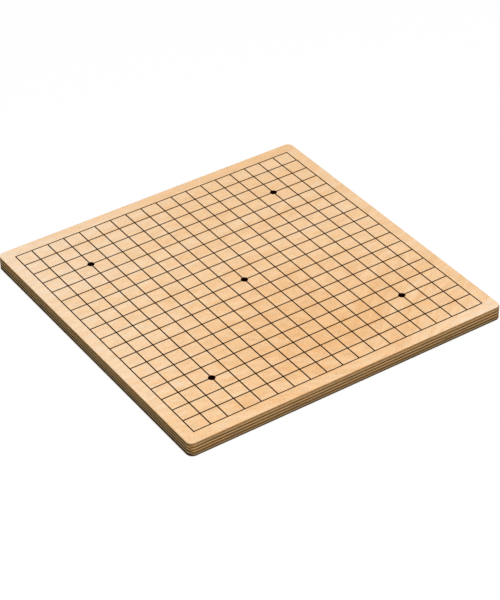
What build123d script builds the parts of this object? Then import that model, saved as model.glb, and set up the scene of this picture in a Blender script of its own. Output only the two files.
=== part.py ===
from build123d import *
import os

# A game board for the 19 by 19 line game: one panel of crossed beech plies with a sliced veneer on
# both faces, cut to size, rounded at its corners and eased along its edges, with the grid printed on top.
# The origin is the middle of the underside. X runs along the grain of the face, Z is up.

# Playing grid, in millimetres
cell = 22.0             # one line's centre to the next, the same both ways
lines = 19              # lines each way
line_width = 1.4        # printed lines, the outermost ones too
star_diameter = 8.8     # round marks on the star points
star_line = 4           # the corner marks stand on this line, counted in from the edge
ink_film = 0.05         # the print stands this high on the veneer

# Panel, in millimetres
margin = 16.0           # centre of the outermost line to the left and right edges
end_margin = 17.0       # the same, to the near and far edges
corner_radius = 8.0     # the four corners, seen from above
arris_radius = 1.2      # the sanded edges of the top and the underside

# Lay-up, in millimetres
face_veneer = 0.4       # sliced veneer, one sheet on each face
outer_ply = 1.6         # first and last ply of the core, grain across
inner_ply = 2.0         # each ply between them
inner_plies = 7         # how many, an odd number, so that the lay-up is the same from both faces

# Sizes that follow
grid_side = (lines - 1) * cell
board_width = grid_side + 2 * margin
board_length = grid_side + 2 * end_margin
core_plies = [outer_ply] + [inner_ply] * inner_plies + [outer_ply]
thickness = face_veneer + sum(core_plies) + face_veneer
star_reach = grid_side / 2 - (star_line - 1) * cell

os.makedirs("parts", exist_ok=True)


def finish_piece(piece, name):
    """Label a finished piece and write it to its own file."""
    piece.label = name
    export_step(piece, f"parts/{name}.step")
    box = piece.bounding_box().size
    print(f"{name}: {box.X:.1f} x {box.Y:.1f} x {box.Z:.2f} mm, {piece.volume / 1000:.2f} cm3")


# The sheets are pressed together first. The panel is cut out, rounded and eased after that, so every
# sheet gets its outline, and its share of the eased edge, from this one blank.
with BuildPart() as blank:
    with BuildSketch():
        RectangleRounded(board_width, board_length, corner_radius)
    extrude(amount=thickness)
    faces_up_and_down = blank.faces().filter_by(Plane.XY)
    fillet(faces_up_and_down.edges(), arris_radius)


def sheet_between(bottom, top):
    """The sheet of the pressed panel that lies between two glue lines."""
    with BuildPart() as sheet:
        add(blank.part)
        if bottom > 0:
            split(bisect_by=Plane.XY.offset(bottom), keep=Keep.TOP)
        if top < thickness:
            split(bisect_by=Plane.XY.offset(top), keep=Keep.BOTTOM)
    return sheet.part


# Underside: a plain sheet of veneer, grain along X like the top
glue_line = face_veneer
back_veneer = sheet_between(0, glue_line)
finish_piece(back_veneer, "back_veneer")

# Core, from the underside up: odd plies have their grain across the board, even ones along it
for number, ply in enumerate(core_plies, start=1):
    core_ply = sheet_between(glue_line, glue_line + ply)
    finish_piece(core_ply, f"core_ply_{number}")
    glue_line += ply

# Playing face: the top sheet of veneer
face_veneer_sheet = sheet_between(glue_line, thickness)
finish_piece(face_veneer_sheet, "face_veneer")

# Print: both sets of lines are one connected film, and the star points are round marks in it
with BuildSketch(Plane.XY.offset(thickness)) as star_marks:
    Circle(star_diameter / 2)
    with GridLocations(2 * star_reach, 2 * star_reach, 2, 2):
        Circle(star_diameter / 2)

with BuildSketch(Plane.XY.offset(thickness)) as line_lattice:
    with GridLocations(cell, 0, lines, 1):
        Rectangle(line_width, grid_side + line_width)
    with GridLocations(0, cell, 1, lines):
        Rectangle(grid_side + line_width, line_width)
    add(star_marks.sketch, mode=Mode.SUBTRACT)

with BuildPart() as grid_lines:
    add(line_lattice.sketch)
    extrude(amount=ink_film)
finish_piece(grid_lines.part, "grid_lines")

with BuildPart() as star_points:
    add(star_marks.sketch)
    extrude(amount=ink_film)
finish_piece(star_points.part, "star_points")
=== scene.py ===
import math
import bmesh
import bpy
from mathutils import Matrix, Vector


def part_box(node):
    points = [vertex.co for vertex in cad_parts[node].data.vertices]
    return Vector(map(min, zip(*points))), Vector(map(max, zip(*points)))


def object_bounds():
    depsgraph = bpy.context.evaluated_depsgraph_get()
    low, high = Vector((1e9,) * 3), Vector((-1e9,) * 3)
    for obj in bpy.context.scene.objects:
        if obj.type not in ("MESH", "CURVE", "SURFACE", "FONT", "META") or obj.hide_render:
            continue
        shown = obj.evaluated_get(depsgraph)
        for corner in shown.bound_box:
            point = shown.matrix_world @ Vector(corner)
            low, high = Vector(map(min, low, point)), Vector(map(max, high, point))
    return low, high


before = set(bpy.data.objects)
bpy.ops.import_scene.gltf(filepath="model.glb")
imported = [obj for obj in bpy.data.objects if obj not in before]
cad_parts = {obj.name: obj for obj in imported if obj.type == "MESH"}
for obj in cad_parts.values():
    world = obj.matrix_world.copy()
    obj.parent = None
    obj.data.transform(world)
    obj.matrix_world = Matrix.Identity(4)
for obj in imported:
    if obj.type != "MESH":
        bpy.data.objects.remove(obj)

# A plywood game board: crossed beech plies, a beech veneer on both faces, a printed grid on top.
# Metres, Z up, origin in the middle of the underside. X runs along the grain of the face.

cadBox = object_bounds()
mm = 0.001
lowNoise, highNoise = 0.36, 0.64        # most of what a noise texture gives lies between these

# The printed grid, in millimetres, for the ink that shows in the wood beside it
grid = {
    "cell": 22.0,
    "side": 18 * 22.0,
    "line": 1.4,
}


def hexColour(code):
    # sRGB hex to the linear colour that the shaders work in
    parts = [int(code[i:i + 2], 16) / 255 for i in (1, 3, 5)]
    return [c / 12.92 if c <= 0.04045 else ((c + 0.055) / 1.055) ** 2.4 for c in parts] + [1.0]


def addNode(tree, kind, inputs=None, **settings):
    # inputs are values or sockets, by socket name or number; settings are the node's own properties
    node = tree.nodes.new("ShaderNode" + kind)
    for name, value in settings.items():
        setattr(node, name, value)
    for name, value in (inputs or {}).items():
        if isinstance(value, bpy.types.NodeSocket):
            tree.links.new(value, node.inputs[name])
        else:
            node.inputs[name].default_value = value
    return node


def setStops(ramp, stops):
    # the stops of a colour ramp as {position: colour}, where a single number is a grey level
    elements = ramp.color_ramp.elements
    while len(elements) < len(stops):
        elements.new(0.5)
    for element, (place, colour) in zip(elements, sorted(stops.items())):
        element.position = place
        element.color = colour if isinstance(colour, list) else [colour, colour, colour, 1.0]
    return ramp.outputs["Color"]


def newMaterial(name):
    material = bpy.data.materials.new(name)
    material.use_nodes = True
    material.node_tree.nodes.clear()
    return material, material.node_tree


def dress(nodeName, material):
    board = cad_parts[nodeName]
    board.data.materials.clear()
    board.data.materials.append(material)


# The playing face: beech, flat sliced into veneer, sanded and given a thin matt lacquer.
# To the eye: smooth peach wood, paler towards the far left, warmer in one broad area that runs in from the
# near edge, with faint streaks along X that sag round that area, and all over it a fine speckle of rays.
faceWood = {
    "cream": "#FFE7CC",         # palest wood
    "peach": "#FBD1A3",         # most of the face
    "orange": "#EFB679",        # warmest wood
    "warmPlace": (4, -130),     # mm, middle of the warm area
    "warmSize": (240, 215),     # mm, how far it reaches each way
    "warmth": 0.13,             # how far it moves the wood towards orange
    "paleX": (-214, 20),        # mm, from the palest edge to where the paleness ends
    "paleY": (120, -190),       # mm, the same from the far side to the near one
    "paleness": 0.135,          # how far it moves the wood towards cream
    "edgeBand": 18,             # mm, three of the edges have a tone of their own, this wide
    "edgeFade": (0.7, 1.3),     # in edge bands, from where that tone starts to fade to where it's gone
    "nearPaleness": (-0.02, 0.12),      # from the left end to the right one
    "farPaleness": (0.04, -0.07),       # the same
    "leftPaleness": (0.03, 0.03),       # from the near end to the far one
    "streakWidth": 22.0,        # mm, across the grain
    "streakLength": 420.0,      # mm, along the grain
    "streakShift": 16.0,        # mm, brings a pale streak to its place in the far third
    "streaks": 0.39,            # how strongly the streaks show
    "curlLength": 15.0,         # mm, short strokes that follow the streaks
    "curlWidth": 6.5,           # mm
    "curls": 0.24,              # how strongly they show
    "curlFade": 0.55,           # how much of them is left towards the far edge
    "curlFadeY": (-150, 200),   # mm, from where they start to fade to where that much is left
    "curlShade": 0.96,          # how dark the dark ones are
    "patchSize": 24.0,          # mm
    "patchStretch": 0.7,        # across to along the grain
    "patches": 0.13,            # how strongly soft patches show
    "figureX": 33.0,            # mm, where the streaks sag most
    "figureWidth": 105.0,       # mm, half width of the sag
    "figureDepth": 80.0,        # mm, how far they sag at the near edge
    "figureY": (-214, 60),      # mm, from where they sag most to where they run straight
    "wander": 22.0,             # mm, how far they wander besides
    "wanderLength": 170,        # mm
    "wanderWidth": 70,          # mm
    "fibreWidth": 0.9,          # mm; the real fibres are a tenth of that, too fine to show
    "fibreLength": 9.0,         # mm
    "fibreShade": 0.96,
    "fibreRelief": 0.02,        # mm
    "rayWidth": 1.1,            # mm; real rays are half that, drawn larger so that they show
    "rayLength": 1.9,           # mm
    "rays": 0.26,               # how far the speckle swings the tone
    "rayShades": (1.045, 0.905),    # how light and how dark it makes the wood besides
    "blush": "#FFFBF3",         # tints that the wood drifts between from one fibre to the next
    "ash": "#F8FBFC",
    "driftSize": 7.0,           # mm
    "driftStretch": 0.6,
    "fleck": "#C98F5C",         # darker ends of the largest rays
    "fleckLength": 4.5,         # mm
    "fleckWidth": 0.9,          # mm
    "flecks": 0.16,             # how strongly they show
    "worn": "#937048",          # along the near and far edges the arris is sanded through to the dark ply
    "wornSides": 0.40,          # how much of that shows along the left and right edges
    "bleed": "#2A1408",         # ink that crept into the fibres beside the printed lines
    "bleedAlong": 0.28,         # mm, how far it went along the grain
    "bleedAcross": 0.36,        # mm, and across it
    "roughness": 0.5,
    "gloss": 0.25,              # specular level of the matt lacquer
}


def beechFace(name, seed, printed):
    wood = faceWood
    material, tree = newMaterial(name)
    place = addNode(tree, "TexCoord")
    point = addNode(tree, "VectorMath", {0: place.outputs["Object"], "Scale": 1 / mm}, operation="SCALE")
    point = point.outputs["Vector"]
    axes = addNode(tree, "SeparateXYZ", {"Vector": point})
    x, y = axes.outputs["X"], axes.outputs["Y"]

    # streaks follow lines of equal height, and those sag round figureX, most at the near edge
    away = addNode(tree, "Math", {0: x, 1: wood["figureX"]}, operation="SUBTRACT")
    away = addNode(tree, "Math", {0: away.outputs[0], 1: wood["figureWidth"]}, operation="DIVIDE")
    away = addNode(tree, "Math", {0: away.outputs[0], 1: 2.0}, operation="POWER")
    bell = addNode(tree, "Math", {0: away.outputs[0], 1: -1.0}, operation="MULTIPLY")
    bell = addNode(tree, "Math", {0: bell.outputs[0]}, operation="EXPONENT")
    nearY, farY = wood["figureY"]
    sag = addNode(tree, "MapRange", {"Value": y, "From Min": nearY, "From Max": farY,
                                     "To Min": wood["figureDepth"], "To Max": 0.0},
                  interpolation_type="SMOOTHSTEP")
    sag = addNode(tree, "Math", {0: sag.outputs[0], 1: bell.outputs[0]}, operation="MULTIPLY")
    wander = addNode(tree, "Mapping", {"Vector": point, "Location": (seed, seed * 0.37, 0.0),
                                       "Scale": (1 / wood["wanderLength"], 1 / wood["wanderWidth"], 1.0)})
    wander = addNode(tree, "TexNoise", {"Vector": wander.outputs[0], "Scale": 1.0, "Detail": 1.5})
    wander = addNode(tree, "MapRange", {"Value": wander.outputs["Fac"], "To Min": -wood["wander"],
                                        "To Max": wood["wander"]})
    height = addNode(tree, "Math", {0: y, 1: sag.outputs[0]}, operation="ADD")
    height = addNode(tree, "Math", {0: height.outputs[0], 1: wander.outputs[0]}, operation="ADD")
    height = addNode(tree, "Math", {0: height.outputs[0], 1: wood["streakShift"]}, operation="ADD")
    along = addNode(tree, "Math", {0: x, 1: wood["streakLength"]}, operation="DIVIDE")
    across = addNode(tree, "Math", {0: height.outputs[0], 1: wood["streakWidth"]}, operation="DIVIDE")
    figure = addNode(tree, "CombineXYZ", {"X": along.outputs[0], "Y": across.outputs[0], "Z": seed})
    streaks = addNode(tree, "TexNoise", {"Vector": figure.outputs[0], "Scale": 1.0, "Detail": 4.0,
                                         "Roughness": 0.65})
    along = addNode(tree, "Math", {0: x, 1: wood["curlLength"]}, operation="DIVIDE")
    across = addNode(tree, "Math", {0: height.outputs[0], 1: wood["curlWidth"]}, operation="DIVIDE")
    curls = addNode(tree, "CombineXYZ", {"X": along.outputs[0], "Y": across.outputs[0], "Z": seed})
    curls = addNode(tree, "TexNoise", {"Vector": curls.outputs[0], "Scale": 1.0, "Detail": 1.0,
                                       "Distortion": 0.6})
    patches = addNode(tree, "Mapping", {"Vector": point, "Location": (seed * 1.7, seed, 0.0),
                                        "Scale": (wood["patchStretch"] / wood["patchSize"],
                                                  1 / wood["patchSize"], 1.0)})
    patches = addNode(tree, "TexNoise", {"Vector": patches.outputs[0], "Scale": 1.0, "Detail": 3.0})
    curlTone = setStops(addNode(tree, "ValToRGB", {"Fac": curls.outputs["Fac"]}),
                        {lowNoise: 1.0, highNoise: wood["curlShade"]})

    # each swings the tone about a middle value
    streaks = addNode(tree, "MapRange", {"Value": streaks.outputs["Fac"], "To Min": -wood["streaks"] / 2,
                                         "To Max": wood["streaks"] / 2})
    curls = addNode(tree, "MapRange", {"Value": curls.outputs["Fac"], "To Min": -wood["curls"] / 2,
                                       "To Max": wood["curls"] / 2})
    patches = addNode(tree, "MapRange", {"Value": patches.outputs["Fac"], "To Min": -wood["patches"] / 2,
                                         "To Max": wood["patches"] / 2})
    tone = addNode(tree, "Math", {0: streaks.outputs[0], 1: patches.outputs[0]}, operation="ADD")
    nearY, farY = wood["curlFadeY"]
    fade = addNode(tree, "MapRange", {"Value": y, "From Min": nearY, "From Max": farY,
                                      "To Min": 1.0, "To Max": wood["curlFade"]})
    curls = addNode(tree, "Math", {0: curls.outputs[0], 1: fade.outputs[0]}, operation="MULTIPLY")
    tone = addNode(tree, "Math", {0: tone.outputs[0], 1: curls.outputs[0]}, operation="ADD")
    rays = addNode(tree, "Mapping", {"Vector": point, "Location": (seed, 0.0, 0.0),
                                     "Scale": (1 / wood["rayLength"], 1 / wood["rayWidth"], 1.0)})
    rays = addNode(tree, "TexNoise", {"Vector": rays.outputs[0], "Scale": 1.0, "Detail": 1.0})
    rayTone = setStops(addNode(tree, "ValToRGB", {"Fac": rays.outputs["Fac"]}),
                       {lowNoise: wood["rayShades"][0], highNoise: wood["rayShades"][1]})
    rays = addNode(tree, "MapRange", {"Value": rays.outputs["Fac"], "To Min": 0.5 - wood["rays"] / 2,
                                      "To Max": 0.5 + wood["rays"] / 2})
    tone = addNode(tree, "Math", {0: tone.outputs[0], 1: rays.outputs[0]}, operation="ADD")

    # the warm area, round in its own stretched coordinates, then the pale far left, then three edges
    (warmX, warmY), (reachX, reachY) = wood["warmPlace"], wood["warmSize"]
    warm = addNode(tree, "Mapping", {"Vector": point, "Location": (-warmX / reachX, -warmY / reachY, 0.0),
                                     "Scale": (1 / reachX, 1 / reachY, 0.0)})
    warm = addNode(tree, "VectorMath", {0: warm.outputs[0]}, operation="LENGTH")
    warm = addNode(tree, "MapRange", {"Value": warm.outputs["Value"], "To Min": wood["warmth"],
                                      "To Max": 0.0}, interpolation_type="SMOOTHSTEP")
    tone = addNode(tree, "Math", {0: tone.outputs[0], 1: warm.outputs[0]}, operation="ADD")
    paleX = addNode(tree, "MapRange", {"Value": x, "From Min": wood["paleX"][0],
                                       "From Max": wood["paleX"][1],
                                       "To Min": wood["paleness"], "To Max": 0.0})
    paleY = addNode(tree, "MapRange", {"Value": y, "From Min": wood["paleY"][1],
                                       "From Max": wood["paleY"][0]})
    pale = addNode(tree, "Math", {0: paleX.outputs[0], 1: paleY.outputs[0]}, operation="MULTIPLY")
    tone = addNode(tree, "Math", {0: tone.outputs[0], 1: pale.outputs[0]}, operation="SUBTRACT")
    rightSide, farSide = cadBox[1].x / mm, cadBox[1].y / mm
    fadeStart, fadeEnd = wood["edgeFade"]
    for value, side, run, (start, end) in ((y, -farSide, x, wood["nearPaleness"]),
                                           (y, farSide, x, wood["farPaleness"]),
                                           (x, -rightSide, y, wood["leftPaleness"])):
        inward = wood["edgeBand"] if side < 0 else -wood["edgeBand"]
        pale = addNode(tree, "MapRange", {"Value": run, "From Min": -rightSide, "From Max": rightSide,
                                          "To Min": start, "To Max": end})
        band = addNode(tree, "MapRange", {"Value": value, "From Min": side + inward * fadeStart,
                                          "From Max": side + inward * fadeEnd,
                                          "To Min": pale.outputs[0], "To Max": 0.0})
        tone = addNode(tree, "Math", {0: tone.outputs[0], 1: band.outputs[0]}, operation="SUBTRACT")
    wooden = setStops(addNode(tree, "ValToRGB", {"Fac": tone.outputs[0]}),
                      {0.25: hexColour(wood["cream"]), 0.5: hexColour(wood["peach"]),
                       0.75: hexColour(wood["orange"])})

    # fine fibres, the shade of the rays and curls, and the drift of tint, each multiplied in
    fibres = addNode(tree, "Mapping", {"Vector": point,
                                       "Scale": (1 / wood["fibreLength"], 1 / wood["fibreWidth"], 1.0)})
    fibres = addNode(tree, "TexNoise", {"Vector": fibres.outputs[0], "Scale": 1.0, "Detail": 2.0})
    fibreTone = setStops(addNode(tree, "ValToRGB", {"Fac": fibres.outputs["Fac"]}),
                         {0.3: wood["fibreShade"], 0.7: 1.0})
    tint = addNode(tree, "Mapping", {"Vector": point, "Location": (0.0, seed, 0.0),
                                     "Scale": (wood["driftStretch"] / wood["driftSize"],
                                               1 / wood["driftSize"], 1.0)})
    tint = addNode(tree, "TexNoise", {"Vector": tint.outputs[0], "Scale": 1.0, "Detail": 1.0})
    tint = setStops(addNode(tree, "ValToRGB", {"Fac": tint.outputs["Fac"]}),
                    {lowNoise: hexColour(wood["blush"]), highNoise: hexColour(wood["ash"])})
    for layer in (fibreTone, rayTone, curlTone, tint):
        wooden = addNode(tree, "Mix", {"Factor": 1.0, 6: wooden, 7: layer}, data_type="RGBA",
                         blend_type="MULTIPLY").outputs[2]

    # the largest rays: short lens shapes along the grain, over about a third of their places
    cells = addNode(tree, "Mapping", {"Vector": point, "Location": (seed, seed, 0.0),
                                      "Scale": (1 / wood["fleckLength"], 1 / wood["fleckWidth"], 1.0)})
    cells = addNode(tree, "TexVoronoi", {"Vector": cells.outputs[0], "Scale": 1.0}, voronoi_dimensions="2D")
    lens = setStops(addNode(tree, "ValToRGB", {"Fac": cells.outputs["Distance"]}), {0.12: 1.0, 0.42: 0.0})
    chosen = addNode(tree, "SeparateColor", {"Color": cells.outputs["Color"]})
    chosen = setStops(addNode(tree, "ValToRGB", {"Fac": chosen.outputs["Red"]}), {0.6: 0.0, 0.75: 1.0})
    fleck = addNode(tree, "Math", {0: lens, 1: chosen}, operation="MULTIPLY")
    fleck = addNode(tree, "Math", {0: fleck.outputs[0], 1: wood["flecks"]}, operation="MULTIPLY")
    wooden = addNode(tree, "Mix", {"Factor": fleck.outputs[0], 6: wooden, 7: hexColour(wood["fleck"])},
                     data_type="RGBA").outputs[2]

    # ink beside the lines: how far a point is from the nearest one each way, inside the grid only
    outermost = grid["side"] / 2 + grid["line"] / 2 if printed else 0.0
    reach = addNode(tree, "VectorMath", {0: point}, operation="ABSOLUTE")
    reach = addNode(tree, "SeparateXYZ", {"Vector": reach.outputs[0]})
    reach = addNode(tree, "Math", {0: reach.outputs["X"], 1: reach.outputs["Y"]}, operation="MAXIMUM")
    soaked = addNode(tree, "Math", {0: reach.outputs[0], 1: outermost}, operation="LESS_THAN").outputs[0]
    dry = 1.0
    for value, bleed in ((x, wood["bleedAlong"]), (y, wood["bleedAcross"])):
        gap = addNode(tree, "Math", {0: value, 1: grid["cell"] / 2}, operation="PINGPONG")
        gap = addNode(tree, "MapRange", {"Value": gap.outputs[0], "From Min": grid["line"] / 2,
                                         "From Max": grid["line"] / 2 + bleed})
        dry = addNode(tree, "Math", {0: dry, 1: gap.outputs[0]}, operation="MINIMUM").outputs[0]
    dry = addNode(tree, "Math", {0: 1.0, 1: dry}, operation="SUBTRACT")
    soaked = addNode(tree, "Math", {0: soaked, 1: dry.outputs[0]}, operation="MULTIPLY")
    wooden = addNode(tree, "Mix", {"Factor": soaked.outputs[0], 6: wooden, 7: hexColour(wood["bleed"])},
                     data_type="RGBA").outputs[2]

    # the arris, known by how far its surface leans out
    facing = addNode(tree, "SeparateXYZ", {"Vector": place.outputs["Normal"]})
    tilt = addNode(tree, "Math", {0: facing.outputs["Y"]}, operation="ABSOLUTE")
    sideTilt = addNode(tree, "Math", {0: facing.outputs["X"]}, operation="ABSOLUTE")
    sideTilt = addNode(tree, "Math", {0: sideTilt.outputs[0], 1: wood["wornSides"]}, operation="MULTIPLY")
    tilt = addNode(tree, "Math", {0: tilt.outputs[0], 1: sideTilt.outputs[0]}, operation="MAXIMUM")
    sanded = setStops(addNode(tree, "ValToRGB", {"Fac": tilt.outputs[0]}), {0.15: 0.0, 0.45: 1.0})
    wooden = addNode(tree, "Mix", {"Factor": sanded, 6: wooden, 7: hexColour(wood["worn"])},
                     data_type="RGBA").outputs[2]

    bump = addNode(tree, "Bump", {"Height": fibres.outputs["Fac"], "Strength": 0.15,
                                  "Distance": wood["fibreRelief"] * mm})
    shader = addNode(tree, "BsdfPrincipled", {"Base Color": wooden, "Roughness": wood["roughness"],
                                              "IOR": 1.5, "Specular IOR Level": wood["gloss"],
                                              "Normal": bump.outputs[0]})
    addNode(tree, "OutputMaterial", {"Surface": shader.outputs[0]})
    return material


# The core: beech plies, sawn through and sanded at the edges of the board, sealed with the same lacquer.
# To the eye: a ply cut across its fibres drinks the lacquer and goes dark, one cut along them stays light,
# and each ply has its own tone. Painted shade also darkens the lowest plies towards the floor, and a
# painted sheen lightens and greys ply 9's end grain on the arris. The sealed edges hardly shine.
coreWood = {
    # the even plies, the odd ones, and ply 9, the one under the face, whose end grain colour is greyed by a
    # painted sheen of the lacquer on the arris
    "longGrain": ("#EFD5AC", "#F0DDB4", "#F0DDB4"),
    "endGrainAndSheen": ("#936B28", "#8F6C3F", "#997955"),
    # the tones of plies 1 to 9, from the underside up: each ply's own tone, with painted shade that darkens
    # the lowest plies towards the floor, and in ply 9's end grain a painted sheen that lightens it
    "longTonesWithShade": (0.34, 0.63, 1.04, 0.83, 1.02, 0.98, 1.0, 0.90, 0.66),
    "endTonesWithShadeAndSheen": (0.24, 0.04, 0.99, 0.16, 1.06, 0.88, 1.08, 1.08, 1.50),
    "grey": "#D3CAC0",          # the tints that a ply drifts between along its edge
    "even": "#F4E6D2",
    "warm": "#FDE3C6",
    "ringWidth": 3.2,           # mm, marks across an end grain edge
    "ringHeight": 4.0,          # mm
    "ringDepth": 0.28,          # how far they lighten and darken it
    "ringRelief": 0.04,         # mm
    "fibreHeight": 0.35,        # mm, streaks along a long grain edge
    "fibreLength": 18.0,        # mm
    "fibreDepth": 0.14,         # how far they lighten and darken it
    "patchLength": 38.0,        # mm, longer changes of tone along the edge
    "glue": "#4A3018",
    "glueLine": 0.14,           # mm; its darker half lies against the next ply
    "glueShade": 0.7,
    "roughness": 0.7,
    "gloss": 0.0,
}


def shaded(code, tone):
    return [level * tone for level in hexColour(code)[:3]] + [1.0]


def beechPly(name, number, low, high):
    wood = coreWood
    seed = number * 7.3
    grainAlongX = number % 2 == 0
    kind = 2 if number == 9 else number % 2
    # these tones hold painted shade on the lowest plies and, in ply 9's end grain, a painted sheen
    longColour, longToneWithShade = wood["longGrain"][kind], wood["longTonesWithShade"][number - 1]
    endColourAndSheen, endToneWithShadeAndSheen = wood["endGrainAndSheen"][kind], wood["endTonesWithShadeAndSheen"][number - 1]
    material, tree = newMaterial(name)
    place = addNode(tree, "TexCoord")
    point = addNode(tree, "VectorMath", {0: place.outputs["Object"], "Scale": 1 / mm}, operation="SCALE")
    axes = addNode(tree, "SeparateXYZ", {"Vector": point.outputs["Vector"]})
    facing = addNode(tree, "SeparateXYZ", {"Vector": place.outputs["Normal"]})
    endOn = addNode(tree, "Math", {0: facing.outputs["X" if grainAlongX else "Y"]}, operation="ABSOLUTE")
    endOn = setStops(addNode(tree, "ValToRGB", {"Fac": endOn.outputs[0]}), {0.35: 0.0, 0.85: 1.0})

    # distance along the edge, whichever way the edge runs
    run = addNode(tree, "Math", {0: axes.outputs["X"], 1: axes.outputs["Y"]}, operation="ADD").outputs[0]
    z = axes.outputs["Z"]

    across = addNode(tree, "Math", {0: run, 1: wood["fibreLength"]}, operation="DIVIDE")
    up = addNode(tree, "Math", {0: z, 1: wood["fibreHeight"]}, operation="DIVIDE")
    streaks = addNode(tree, "CombineXYZ", {"X": across.outputs[0], "Y": up.outputs[0], "Z": seed})
    streaks = addNode(tree, "TexNoise", {"Vector": streaks.outputs[0], "Scale": 1.0, "Detail": 2.0})
    longGrain = setStops(addNode(tree, "ValToRGB", {"Fac": streaks.outputs["Fac"]}),
                         {0.3: shaded(longColour, longToneWithShade * (1 - wood["fibreDepth"])),
                          0.7: shaded(longColour, longToneWithShade * (1 + wood["fibreDepth"]))})

    across = addNode(tree, "Math", {0: run, 1: wood["ringWidth"]}, operation="DIVIDE")
    up = addNode(tree, "Math", {0: z, 1: wood["ringHeight"]}, operation="DIVIDE")
    rings = addNode(tree, "CombineXYZ", {"X": across.outputs[0], "Y": up.outputs[0], "Z": seed + 5.0})
    rings = addNode(tree, "TexNoise", {"Vector": rings.outputs[0], "Scale": 1.0, "Detail": 3.0})
    # for ply 9 this end grain colour and tone hold a painted sheen
    endGrainAndSheen = setStops(addNode(tree, "ValToRGB", {"Fac": rings.outputs["Fac"]}),
                        {0.3: shaded(endColourAndSheen, endToneWithShadeAndSheen * (1 - wood["ringDepth"])),
                         0.7: shaded(endColourAndSheen, endToneWithShadeAndSheen * (1 + wood["ringDepth"]))})
    sawn = addNode(tree, "Mix", {"Factor": endOn, 6: longGrain, 7: endGrainAndSheen}, data_type="RGBA").outputs[2]

    across = addNode(tree, "Math", {0: run, 1: wood["patchLength"]}, operation="DIVIDE")
    patches = addNode(tree, "CombineXYZ", {"X": across.outputs[0], "Y": seed * 3.1, "Z": 0.0})
    patches = addNode(tree, "TexNoise", {"Vector": patches.outputs[0], "Scale": 1.0, "Detail": 2.0})
    patches = setStops(addNode(tree, "ValToRGB", {"Fac": patches.outputs["Fac"]}),
                       {0.3: hexColour(wood["grey"]), 0.5: hexColour(wood["even"]),
                        0.7: hexColour(wood["warm"])})
    sawn = addNode(tree, "Mix", {"Factor": 1.0, 6: sawn, 7: patches}, data_type="RGBA",
                   blend_type="MULTIPLY").outputs[2]

    # the glue that soaks into both sheets shows as a fine dark line
    half = (high - low) / 2 / mm
    offCentre = addNode(tree, "Math", {0: z, 1: (high + low) / 2 / mm}, operation="SUBTRACT")
    offCentre = addNode(tree, "Math", {0: offCentre.outputs[0]}, operation="ABSOLUTE")
    glue = addNode(tree, "MapRange", {"Value": offCentre.outputs[0], "From Min": half - wood["glueLine"],
                                      "From Max": half - wood["glueLine"] / 2, "To Min": 0.0,
                                      "To Max": wood["glueShade"]})
    sawn = addNode(tree, "Mix", {"Factor": glue.outputs[0], 6: sawn, 7: hexColour(wood["glue"])},
                   data_type="RGBA").outputs[2]

    bump = addNode(tree, "Bump", {"Height": rings.outputs["Fac"], "Strength": 0.2,
                                  "Distance": wood["ringRelief"] * mm})
    shader = addNode(tree, "BsdfPrincipled", {"Base Color": sawn, "Roughness": wood["roughness"],
                                              "IOR": 1.5, "Specular IOR Level": wood["gloss"],
                                              "Normal": bump.outputs[0]})
    addNode(tree, "OutputMaterial", {"Surface": shader.outputs[0]})
    return material


# The print: black screen ink, laid dry and matt on the veneer.
# To the eye: a near black, slightly warm film that hardly shines, with the faint mottle of ink on wood.
ink = {
    "black": "#0E0301",
    "worn": "#180A05",
    "mottle": 1.6,              # mm
    "roughness": 0.7,
    "gloss": 0.0,
}


def screenInk(name):
    material, tree = newMaterial(name)
    place = addNode(tree, "TexCoord")
    mottle = addNode(tree, "TexNoise", {"Vector": place.outputs["Object"], "Scale": 1 / ink["mottle"] / mm,
                                        "Detail": 2.0})
    black = setStops(addNode(tree, "ValToRGB", {"Fac": mottle.outputs["Fac"]}),
                     {0.45: hexColour(ink["black"]), 0.75: hexColour(ink["worn"])})
    shader = addNode(tree, "BsdfPrincipled", {"Base Color": black, "Roughness": ink["roughness"],
                                              "IOR": 1.5, "Specular IOR Level": ink["gloss"]})
    addNode(tree, "OutputMaterial", {"Surface": shader.outputs[0]})
    return material


dress("face_veneer", beechFace("lacqueredBeechFace", 3.0, printed=True))
dress("back_veneer", beechFace("lacqueredBeechBack", 41.0, printed=False))
for number in range(1, 10):
    nodeName = f"core_ply_{number}"
    low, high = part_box(nodeName)
    dress(nodeName, beechPly(f"sawnBeechPly{number}", number, low.z, high.z))
blackInk = screenInk("blackScreenInk")
dress("grid_lines", blackInk)
dress("star_points", blackInk)
print("wood and print dressed")


# The floor is white and plain, a hair below the board. Where it lights the board it is darker, most of
# all close to the board, so that the edges fall off a little towards the bottom.
floorSet = {
    "side": 10.0,               # m
    "drop": 0.1 * mm,
    "seen": "#FFFFFF",          # its colour to the camera and in reflections
    "lighting": "#8C857C",      # its colour where it lights the board
    "reach": 60 * mm,           # nearer than this it gives less light
    "openUnder": 0.4 * mm,      # rays from the underside of the board pass through
    "glow": 0.87,               # share of plain white in what is seen, the rest keeps the board's shadow
    "shade": 0.8 * mm,          # this close to the board there is less of it
    "corner": 8.0 * mm,         # radius of the board's corners
}


def seenDirectly(tree, path):
    # 1 for rays that show a surface, 0 for rays that only gather its light
    seen = addNode(tree, "Math", {0: path.outputs["Is Camera Ray"], 1: path.outputs["Is Glossy Ray"]},
                   operation="MAXIMUM")
    seen = addNode(tree, "Math", {0: seen.outputs[0], 1: path.outputs["Is Transmission Ray"]},
                   operation="MAXIMUM")
    return seen.outputs[0]


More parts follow.
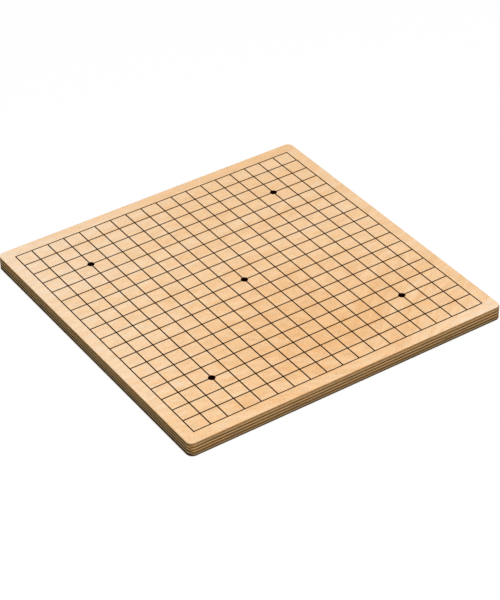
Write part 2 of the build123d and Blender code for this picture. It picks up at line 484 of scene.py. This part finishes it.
def makeFloor():
    mesh = bmesh.new()
    bmesh.ops.create_grid(mesh, x_segments=1, y_segments=1, size=floorSet["side"] / 2)
    bmesh.ops.translate(mesh, verts=mesh.verts, vec=(0, 0, -floorSet["drop"]))
    data = bpy.data.meshes.new("floor")
    mesh.to_mesh(data)
    mesh.free()
    floor = bpy.data.objects.new("floor", data)
    bpy.context.scene.collection.objects.link(floor)

    material, tree = newMaterial("whiteFloor")
    path = addNode(tree, "LightPath")
    seen = seenDirectly(tree, path)
    far = addNode(tree, "MapRange", {"Value": path.outputs["Ray Length"], "From Min": 0.0,
                                     "From Max": floorSet["reach"]})
    lighting = addNode(tree, "Mix", {"Factor": far.outputs[0], 6: hexColour("#000000"),
                                     7: hexColour(floorSet["lighting"])}, data_type="RGBA")
    colour = addNode(tree, "Mix", {"Factor": seen, 6: lighting.outputs[2],
                                   7: hexColour(floorSet["seen"])}, data_type="RGBA")
    pale = addNode(tree, "BsdfDiffuse", {"Color": colour.outputs[2]})
    white = addNode(tree, "Emission", {"Color": hexColour(floorSet["seen"])})

    # how far outside the board's outline a point lies, its round corners too
    place = addNode(tree, "TexCoord")
    beside = addNode(tree, "VectorMath", {0: place.outputs["Object"]}, operation="ABSOLUTE")
    middle = (cadBox[1].x - floorSet["corner"], cadBox[1].y - floorSet["corner"], 0.0)
    beside = addNode(tree, "VectorMath", {0: beside.outputs[0], 1: middle}, operation="SUBTRACT")
    beside = addNode(tree, "VectorMath", {0: beside.outputs[0], 1: (0.0, 0.0, 0.0)}, operation="MAXIMUM")
    beside = addNode(tree, "VectorMath", {0: beside.outputs[0]}, operation="LENGTH")
    glow = addNode(tree, "MapRange", {"Value": beside.outputs["Value"], "From Min": floorSet["corner"],
                                      "From Max": floorSet["corner"] + floorSet["shade"],
                                      "To Max": floorSet["glow"]})
    glow = addNode(tree, "Math", {0: seen, 1: glow.outputs[0]}, operation="MULTIPLY")
    pale = addNode(tree, "MixShader", {0: glow.outputs[0], 1: pale.outputs[0], 2: white.outputs[0]})

    # clear to the underside of the board and from below, so that both can be seen and lit
    near = addNode(tree, "Math", {0: path.outputs["Ray Length"], 1: floorSet["openUnder"]},
                   operation="LESS_THAN")
    below = addNode(tree, "NewGeometry")
    passing = addNode(tree, "Math", {0: near.outputs[0], 1: below.outputs["Backfacing"]},
                      operation="MAXIMUM")
    clear = addNode(tree, "BsdfTransparent")
    surface = addNode(tree, "MixShader", {0: passing.outputs[0], 1: pale.outputs[0], 2: clear.outputs[0]})
    addNode(tree, "OutputMaterial", {"Surface": surface.outputs[0]})
    data.materials.append(material)


makeFloor()

# Soft studio light: one wide lamp high above, behind the camera and to its right, and a dim even world.
lamp = {
    "place": (-0.9, -2.85, 6.0),
    "size": 3.9,                # m across
    "power": 407.0,             # W
}
worldLight = 0.285              # what the world gives as light; to the camera it is plain white

data = bpy.data.lights.new("softbox", "AREA")
data.shape = "DISK"
data.size = lamp["size"]
data.energy = lamp["power"]
softbox = bpy.data.objects.new("softbox", data)
softbox.location = lamp["place"]
# a lamp shines along its own -Z, so it's turned to look at the board
softbox.rotation_euler = (-softbox.location).to_track_quat("-Z", "Y").to_euler()
bpy.context.scene.collection.objects.link(softbox)

world = bpy.data.worlds.new("studio")
bpy.context.scene.world = world
world.use_nodes = True
world.node_tree.nodes.clear()
path = addNode(world.node_tree, "LightPath")
seen = seenDirectly(world.node_tree, path)
strength = addNode(world.node_tree, "MapRange", {"Value": seen, "To Min": worldLight, "To Max": 1.0})
sky = addNode(world.node_tree, "Background", {"Color": hexColour("#FFFFFF"),
                                              "Strength": strength.outputs[0]})
addNode(world.node_tree, "OutputWorld", {"Surface": sky.outputs[0]})
print("floor and light ready")

# The view of the photograph: a long lens, well above the board and out past its near left corner.
view = {
    "place": (-1.0752, -1.6610, 1.4659),
    "turn": (53.228, 1.134, -33.937),    # degrees
    "lens": 124.87,             # mm, on a 36 mm wide sensor
}
cameraData = bpy.data.cameras.new("camera")
cameraData.sensor_width = 36.0
cameraData.lens = view["lens"]
camera = bpy.data.objects.new("camera", cameraData)
camera.location = view["place"]
camera.rotation_euler = [math.radians(angle) for angle in view["turn"]]
bpy.context.scene.collection.objects.link(camera)
bpy.context.scene.camera = camera

bpy.context.scene.view_settings.view_transform = "Standard"
